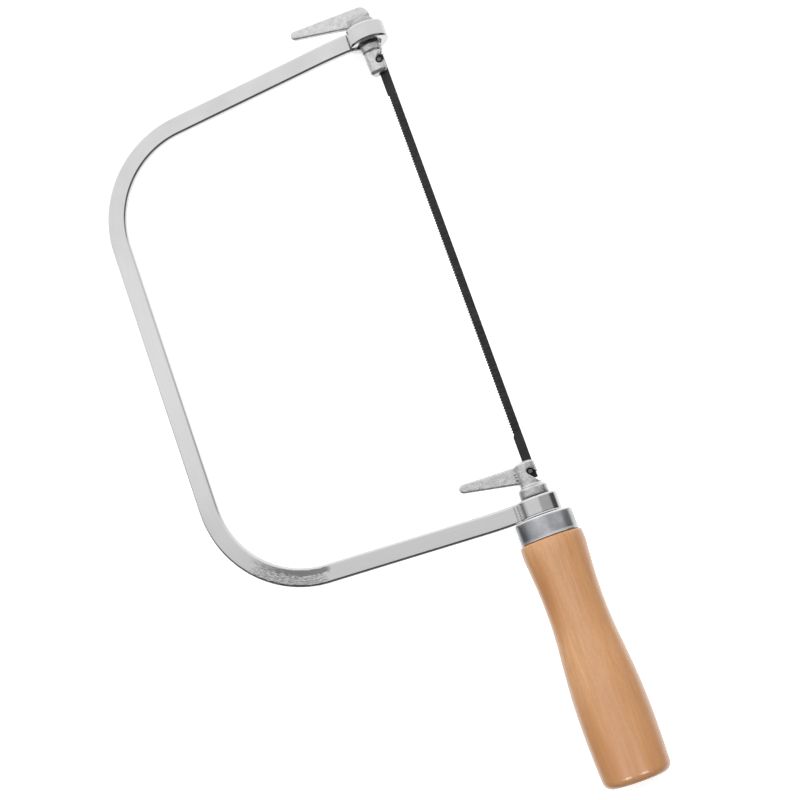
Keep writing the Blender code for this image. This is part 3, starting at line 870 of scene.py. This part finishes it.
class Finish:
    """A procedural material on a Principled shader. Patterns read the piece's own coordinates."""

    def __init__(self, name, **constants):
        self.material = bpy.data.materials.new(name)
        self.material.use_nodes = True
        self.tree = self.material.node_tree
        self.shader = self.tree.nodes["Principled BSDF"]
        for socket, value in constants.items():
            self.shader.inputs[socket.replace("_", " ")].default_value = value
        self.object_space = self.tree.nodes.new("ShaderNodeTexCoord").outputs["Object"]

    def add(self, kind, inputs=None, **settings):
        return add_node(self.tree, kind, inputs, **settings)

    def drive(self, socket, value):
        self.tree.links.new(value, self.shader.inputs[socket])

    def shifted(self, centre):
        """Coordinates in millimetres about a point given in the saw's millimetres."""
        inputs = {0: self.object_space, 1: place(centre)}
        moved = self.add("ShaderNodeVectorMath", inputs, operation="SUBTRACT").outputs[0]
        return self.add("ShaderNodeVectorMath", {0: moved, "Scale": 1 / MM}, operation="SCALE").outputs[0]

    def stretched(self, vector, scales):
        return self.add("ShaderNodeVectorMath", {0: vector, 1: scales}, operation="MULTIPLY").outputs[0]

    def length(self, vector):
        return self.add("ShaderNodeVectorMath", {0: vector}, operation="LENGTH").outputs["Value"]

    def axis(self, vector, letter):
        return self.add("ShaderNodeSeparateXYZ", {0: vector}).outputs[letter]

    def noise(self, vector, scale, detail=3.0, roughness=0.55, distortion=0.0):
        inputs = {
            "Vector": vector, "Scale": scale, "Detail": detail, "Roughness": roughness,
            "Distortion": distortion,
        }
        return self.add("ShaderNodeTexNoise", inputs).outputs["Fac"]

    def spread(self, value, low, high, to_low=0.0, to_high=1.0):
        inputs = {"Value": value, "From Min": low, "From Max": high, "To Min": to_low, "To Max": to_high}
        return self.add("ShaderNodeMapRange", inputs).outputs["Result"]

    def openness(self, reach, **settings):
        """From 0 in a hollow to 1 in the open, seen over a reach in millimetres."""
        inputs = {"Distance": reach * MM}
        return self.add("ShaderNodeAmbientOcclusion", inputs, samples=6, **settings).outputs["AO"]

    def maths(self, operation, *values):
        return self.add("ShaderNodeMath", dict(enumerate(values)), operation=operation).outputs[0]

    def ramp(self, value, *stops):
        node = self.add("ShaderNodeValToRGB", {"Fac": value})
        set_stops(node, stops)
        return node.outputs["Color"]

    def blend(self, share, low, high):
        node = self.add("ShaderNodeMix", {"Factor": share}, data_type="RGBA")
        for index, value in ((6, low), (7, high)):
            if isinstance(value, bpy.types.NodeSocket):
                self.tree.links.new(value, node.inputs[index])
            else:
                node.inputs[index].default_value = (*value, 1.0)
        return node.outputs[2]

    def bump(self, *layers):
        """Stack bump layers, each (height, depth in millimetres)."""
        normal = None
        for height, depth in layers:
            inputs = {"Height": height, "Distance": depth * MM, "Strength": 1.0}
            if normal is not None:
                inputs["Normal"] = normal
            normal = self.add("ShaderNodeBump", inputs).outputs["Normal"]
        self.drive("Normal", normal)


def bow_chrome():
    finish = Finish("bow_chrome", Metallic=1.0)
    space = finish.shifted((0, 0, 0))
    bar_map = finish.add("ShaderNodeUVMap", uv_map="bar_map").outputs["UV"]
    along = finish.maths("MULTIPLY", finish.axis(bar_map, "X"), 1 / MM)
    around = finish.maths("MULTIPLY", finish.axis(bar_map, "Y"), 1 / MM)
    blotch = finish.noise(space, 0.09, detail=4)
    drawn = finish.noise(finish.stretched(bar_map, (60, 2600, 1)), 1.0, detail=4)
    pits = finish.noise(space, 3.2, detail=2)
    wrinkle = finish.noise(finish.stretched(bar_map, (560, 2400, 1)), 1.0, detail=4, distortion=0.6)
    colour = finish.ramp(blotch, (0.3, (0.77, 0.77, 0.775)), (0.7, (0.82, 0.82, 0.825)))
    colour = finish.blend(finish.spread(drawn, 0.3, 0.75, 0.0, 0.22), colour, (0.6, 0.6, 0.61))
    # The corner next to the handle is worn: dull along its inside, finely cracked along its outside.
    ragged = finish.spread(wrinkle, 0.3, 0.7, -0.8, 0.8)
    wear_along = finish.maths("DIVIDE", finish.maths("SUBTRACT", along, WEAR_MIDDLE), WEAR_LENGTH / 2)
    ends = finish.maths("POWER", finish.maths("ABSOLUTE", wear_along), 7.0)
    off_band = finish.maths("SUBTRACT", finish.maths("ADD", around, ragged), WEAR_BAND)
    wear_across = finish.maths("DIVIDE", off_band, WEAR_WIDTH / 2)
    across = finish.maths("POWER", finish.maths("ABSOLUTE", wear_across), 4.0)
    dull = finish.spread(finish.maths("ADD", ends, across), 0.6, 1.4, 1.0, 0.0)
    on_face = finish.spread(around, FACE_END - 0.15, FACE_END, 1.0, 0.0)
    dull = finish.maths("MULTIPLY", dull, on_face)
    patchy = finish.maths("MULTIPLY_ADD", finish.spread(wrinkle, 0.3, 0.7), -WEAR_PATCHES, wear_along)
    dull = finish.maths("MULTIPLY", dull, finish.spread(patchy, -0.25, 0.5, 1.0, 0.15))
    inward = finish.maths("ADD", ends, finish.spread(around, 0.0, FACE_END))
    cracked = finish.spread(inward, 0.5, 1.1, 1.0, 0.0)
    lines = finish.maths("MULTIPLY", cracked, finish.spread(wrinkle, 0.42, 0.6))
    colour = finish.blend(finish.maths("MULTIPLY", lines, 0.62), colour, (0.36, 0.36, 0.37))
    colour = finish.blend(finish.maths("MULTIPLY", dull, 0.9), colour, (0.31, 0.31, 0.32))
    finish.drive("Base Color", colour)
    rough = finish.spread(blotch, 0.3, 0.7, 0.12, 0.22)
    finish.drive("Roughness", finish.maths("MULTIPLY_ADD", dull, 0.15, rough))
    finish.bump((drawn, 0.005), (pits, 0.003), (lines, 0.02))
    return finish.material


def cast_zinc():
    finish = Finish("cast_zinc", Metallic=0.9)
    space = finish.shifted((0, 0, 0))
    cloud = finish.noise(space, 0.6, detail=5, roughness=0.65)
    speckle = finish.noise(space, 2.6, detail=4, roughness=0.7)
    pits = finish.noise(space, 1.4, detail=3, roughness=0.8)
    colour = finish.ramp(
        cloud, (0.32, (0.64, 0.64, 0.65)), (0.5, (0.79, 0.79, 0.8)), (0.72, (0.9, 0.9, 0.91)),
    )
    colour = finish.blend(finish.spread(speckle, 0.42, 0.7, 0.0, 0.6), colour, (0.5, 0.5, 0.51))
    colour = finish.blend(finish.spread(pits, 0.62, 0.72, 0.0, 0.6), colour, (0.3, 0.3, 0.3))
    # Painted shade: the castings are darkened in their hollows.
    nook = finish.openness(HOLLOW_SHADE_REACH)
    colour = finish.blend(finish.spread(nook, 0.35, 0.97, 0.8, 0.0), colour, (0.16, 0.16, 0.165))
    # Painted shade: the castings are darkened along their outer edges.
    edge = finish.openness(EDGE_SHADE_REACH, inside=True, only_local=True)
    colour = finish.blend(finish.spread(edge, 0.5, 0.85, 0.55, 0.0), colour, (0.3, 0.3, 0.305))
    # The boss next to the front eye is painted darker, as painted shade.
    base = local_box("frame_bow")[1].y
    top = base + FRONT_BOSS_HEIGHT
    side = FRONT_BOSS_RADIUS + GAP
    forward = finish.axis(space, "Y")
    from_axis = finish.length(finish.stretched(space, (1, 0, 1)))
    boss = finish.spread(forward, top, top + GAP, 0.5, 0.0)
    boss = finish.maths("MULTIPLY", boss, finish.spread(forward, base - GAP, base))
    boss = finish.maths("MULTIPLY", boss, finish.spread(from_axis, side, side + GAP, 1.0, 0.0))
    colour = finish.blend(boss, colour, (0.34, 0.34, 0.345))
    finish.drive("Base Color", colour)
    finish.drive("Roughness", finish.spread(speckle, 0.3, 0.7, 0.2, 0.36))
    finish.bump((cloud, 0.1), (speckle, 0.05), (pits, 0.03))
    return finish.material


def blade_steel():
    finish = Finish("blade_steel", Metallic=0.7)
    space = finish.shifted((0, 0, 0))
    grain = finish.noise(finish.stretched(space, (6.0, 0.35, 6.0)), 1.0, detail=4)
    cloud = finish.noise(space, 0.2, detail=3)
    colour = finish.ramp(cloud, (0.3, (0.025, 0.025, 0.026)), (0.7, (0.042, 0.042, 0.043)))
    colour = finish.blend(finish.spread(grain, 0.5, 0.8, 0.0, 0.5), colour, (0.07, 0.07, 0.075))
    height = finish.maths("ABSOLUTE", finish.axis(space, "Z"))
    pin = finish.spread(height, BLADE_THICKNESS, BLADE_THICKNESS + 0.2)
    colour = finish.blend(pin, colour, (0.17, 0.17, 0.175))
    finish.drive("Base Color", colour)
    finish.drive("Roughness", finish.spread(grain, 0.3, 0.7, 0.38, 0.55))
    finish.bump((grain, 0.012))
    return finish.material


def bright_steel():
    finish = Finish("bright_steel", Metallic=1.0)
    space = finish.shifted((0, 0, 0))
    rings = finish.noise(finish.stretched(space, (0.05, 3.0, 0.05)), 1.0, detail=2)
    cloud = finish.noise(space, 0.22, detail=3)
    colour = finish.ramp(cloud, (0.35, (0.52, 0.53, 0.555)), (0.65, (0.68, 0.69, 0.72)))
    # The ferrule is painted darker towards the spine of the bow, as painted shade, and painted with
    # highlights along its two edges.
    side_shade = finish.spread(finish.axis(space, "X"), *FERRULE_SIDE_SHADE, 0.0, 0.85)
    colour = finish.blend(side_shade, colour, (0.36, 0.37, 0.39))
    low, high = local_box("ferrule")
    forward = finish.axis(space, "Y")
    # Painted highlights along the ferrule's two rims.
    front_rim = finish.spread(forward, *(high.y - inset for inset in FRONT_RIM_HIGHLIGHT))
    rear_rim = finish.spread(forward, *(low.y + inset for inset in REAR_RIM_HIGHLIGHT))
    on_ferrule = finish.maths("LESS_THAN", forward, high.y + 0.1)
    rim_highlight = finish.maths("ADD", finish.maths("MULTIPLY", on_ferrule, front_rim), rear_rim)
    colour = finish.blend(rim_highlight, colour, (0.95, 0.95, 0.96))
    finish.drive("Base Color", colour)
    finish.drive("Roughness", finish.spread(cloud, 0.35, 0.65, 0.3, 0.2))
    finish.bump((rings, 0.003), (cloud, 0.03))
    return finish.material


def lacquered_beech():
    finish = Finish("lacquered_beech", Roughness=0.42, Coat_Weight=1.0, Coat_Roughness=0.25)
    space = finish.shifted((0, 0, 0))
    sweep = finish.noise(finish.stretched(space, (0.075, 0.024, 0.075)), 1.0, detail=2, distortion=0.4)
    growth = finish.noise(finish.stretched(space, (0.55, 0.03, 0.35)), 1.0, detail=3, distortion=1.2)
    rays = finish.noise(finish.stretched(space, (1.6, 0.11, 1.6)), 1.0, detail=3, distortion=0.5)
    fleck = finish.noise(finish.stretched(space, (5.0, 0.7, 5.0)), 1.0, detail=2)
    pale = finish.noise(finish.stretched(space, (2.6, 0.8, 2.6)), 1.0, detail=1)
    colour = finish.ramp(
        growth, (0.3, (0.58, 0.287, 0.118)), (0.5, (0.635, 0.328, 0.142)), (0.7, (0.68, 0.366, 0.166)),
    )
    colour = finish.blend(finish.spread(sweep, 0.46, 0.62, 0.0, 0.3), colour, HEARTWOOD)
    low, high = local_box("handle_grip")
    ragged = finish.spread(rays, 0.3, 0.7)
    heart = finish.shifted((HEART_ASIDE, high.y - HEART_BACK, HEART_UP))
    from_heart = finish.length(finish.stretched(heart, HEART_SCALE))
    streak = finish.maths("MULTIPLY_ADD", ragged, 0.5, from_heart)
    colour = finish.blend(finish.spread(streak, 0.5, 1.25, 0.75, 0.0), colour, HEARTWOOD)
    colour = finish.blend(finish.spread(rays, 0.48, 0.7, 0.0, 0.3), colour, (0.45, 0.195, 0.068))
    colour = finish.blend(finish.spread(fleck, 0.5, 0.72, 0.0, 0.4), colour, (0.42, 0.18, 0.065))
    colour = finish.blend(finish.spread(pale, 0.7, 0.78, 0.0, 0.2), colour, (0.85, 0.58, 0.34))
    # The wood is darker towards the butt end.
    reach = finish.maths("MULTIPLY_ADD", ragged, BUTT_DARKENING_RAGGED, finish.axis(space, "Y"))
    start = low.y + BUTT_DARKENING_RAGGED
    toward_butt = finish.spread(reach, start, start + BUTT_DARKENING, 0.45, 0.0)
    colour = finish.blend(toward_butt, colour, (0.5, 0.21, 0.07))
    finish.drive("Base Color", colour)
    finish.bump((fleck, 0.008), (sweep, 0.1))
    return finish.material


# Stage


def make_stage():
    """A pale light table, whose own glow keeps the shadows soft, and a white wall far round it."""
    level = cad_box[0].z - FLOOR_CLEARANCE
    bpy.ops.mesh.primitive_plane_add(size=FLOOR_SIZE, location=(ORIGIN.x, ORIGIN.y, level))
    floor = bpy.context.object
    floor.name = "floor"
    finish = Finish("floor_paper", Roughness=0.9, Emission_Strength=FLOOR_GLOW, Emission_Color=(1, 1, 1, 1))
    finish.shader.inputs["Specular IOR Level"].default_value = 0.0
    paper = finish.noise(finish.object_space, 300.0, detail=3)
    finish.drive("Base Color", finish.ramp(paper, (0.3, (0.9, 0.9, 0.9)), (0.7, (0.92, 0.92, 0.92))))
    floor.data.materials.append(finish.material)
    floor.visible_glossy = False
    bpy.ops.mesh.primitive_cylinder_add(
        vertices=96, radius=WALL_RADIUS, depth=FLOOR_SIZE, end_fill_type="NOTHING",
        location=(ORIGIN.x, ORIGIN.y, level + WALL_RADIUS),
    )
    wall = bpy.context.object
    wall.name = "wall"
    paint = Finish("wall_paper", Roughness=0.9, Emission_Strength=1.0, Emission_Color=(1, 1, 1, 1))
    fibres = paint.noise(paint.object_space, 30.0, detail=2)
    paint.drive("Base Color", paint.ramp(fibres, (0.3, (0.88, 0.88, 0.88)), (0.7, (0.92, 0.92, 0.92))))
    wall.data.materials.append(paint.material)
    wall.visible_glossy = False
    wall.visible_diffuse = False
    wall.visible_shadow = False


def make_world():
    """What bright metal mirrors: a light ceiling, dim at its edge and towards -Y, over a white table."""
    world = bpy.data.worlds.new("studio")
    bpy.context.scene.world = world
    world.use_nodes = True
    tree = world.node_tree

    def ease(value, low, high):
        inputs = {"Value": value, "From Min": low, "From Max": high}
        node = add_node(tree, "ShaderNodeMapRange", inputs, interpolation_type="SMOOTHSTEP")
        return node.outputs["Result"]

    def maths(operation, *values):
        return add_node(tree, "ShaderNodeMath", dict(enumerate(values)), operation=operation).outputs[0]

    def mix(share, low, high):
        return maths("MULTIPLY_ADD", maths("SUBTRACT", high, low), share, low)

    def along_y(levels):
        """Brightness against the direction's Y, through (Y, brightness) pairs."""
        position = maths("MULTIPLY_ADD", split["Y"], 1 / SKY_SPAN, 0.5)
        node = add_node(tree, "ShaderNodeValToRGB", {"Fac": position})
        set_stops(node, [(y / SKY_SPAN + 0.5, (level, level, level)) for y, level in levels])
        return node.outputs["Color"]

    direction = add_node(tree, "ShaderNodeTexCoord").outputs["Generated"]
    split = add_node(tree, "ShaderNodeSeparateXYZ", {0: direction}).outputs
    aside = maths("ABSOLUTE", maths("SUBTRACT", split["X"], SKY_MIDDLE))
    beyond = ease(aside, SKY_HALF - SKY_EDGE, SKY_HALF + SKY_EDGE)
    sky = mix(beyond, along_y(SKY_LEVELS), along_y(SIDE_LEVELS))
    dip = maths("MULTIPLY", ease(split["Z"], *DIP_HEIGHT), ease(split["Y"], *DIP_ASIDE))
    sky = mix(maths("MULTIPLY", dip, DIP), sky, 0.0)
    glow_height = maths("MULTIPLY", ease(split["Z"], *GLOW_TOP), ease(split["Z"], *GLOW_FOOT))
    glow = maths("MULTIPLY", glow_height, ease(split["Y"], *GLOW_ASIDE))
    sky = mix(glow, sky, GLOW)
    table = ease(split["Z"], *TABLE_HEIGHT)
    tree.links.new(mix(table, sky, TABLE_LEVEL), tree.nodes["Background"].inputs["Color"])


def add_light(name, at, size, power, mirrored):
    """An area light that shines on the saw. mirrored says whether bright surfaces reflect it."""
    light = bpy.data.lights.new(name, "AREA")
    light.shape = "SQUARE"
    light.size = size
    light.energy = power
    lamp = bpy.data.objects.new(name, light)
    bpy.context.scene.collection.objects.link(lamp)
    lamp.location = ORIGIN + Vector(at)
    lamp.rotation_euler = (-Vector(at)).to_track_quat("-Z", "Y").to_euler()
    lamp.visible_glossy = mirrored
    return lamp


def make_lights():
    make_world()
    # The overhead light isn't mirrored. The two highlights are, on the handle only.
    add_light("overhead", (0.0, 0.0, OVERHEAD_HEIGHT), OVERHEAD_SIZE, OVERHEAD_POWER, False)
    lacquered = bpy.data.collections.new("lacquered")
    lacquered.objects.link(bpy.data.objects["turned_handle"])
    for name, x in HIGHLIGHTS.items():
        at = (x, HIGHLIGHT_BACK, HIGHLIGHT_HEIGHT)
        highlight = add_light(name, at, HIGHLIGHT_SIZE, HIGHLIGHT_POWER, True)
        highlight.visible_diffuse = False
        highlight.light_linking.receiver_collection = lacquered


def make_camera():
    lens = bpy.data.cameras.new("camera")
    lens.sensor_width = SENSOR
    lens.lens = CAMERA_LENS
    camera = bpy.data.objects.new("camera", lens)
    bpy.context.scene.collection.objects.link(camera)
    level = math.cos(CAMERA_ELEVATION)
    back = Vector((
        -math.sin(CAMERA_HEADING) * level, -math.cos(CAMERA_HEADING) * level, math.sin(CAMERA_ELEVATION),
    ))
    upright = (-back).to_track_quat("-Z", "Y").to_matrix().to_4x4()
    roll = Matrix.Rotation(CAMERA_ROLL, 4, "Z")
    at = place(CAMERA_TARGET + back * CAMERA_DISTANCE)
    camera.matrix_world = Matrix.Translation(at) @ upright @ roll
    bpy.context.scene.camera = camera


def set_view():
    settings = bpy.context.scene.view_settings
    settings.view_transform = "Standard"
    settings.look = "None"


def main():
    zinc = cast_zinc()
    steel = bright_steel()
    make_bow(bow_chrome())
    make_blade(blade_steel())
    make_front_holder(zinc)
    make_rear_holder(zinc)
    make_stud(steel)
    make_ferrule(steel)
    make_nut(steel)
    make_handle(lacquered_beech())
    make_stage()
    make_lights()
    make_camera()
    set_view()


main()
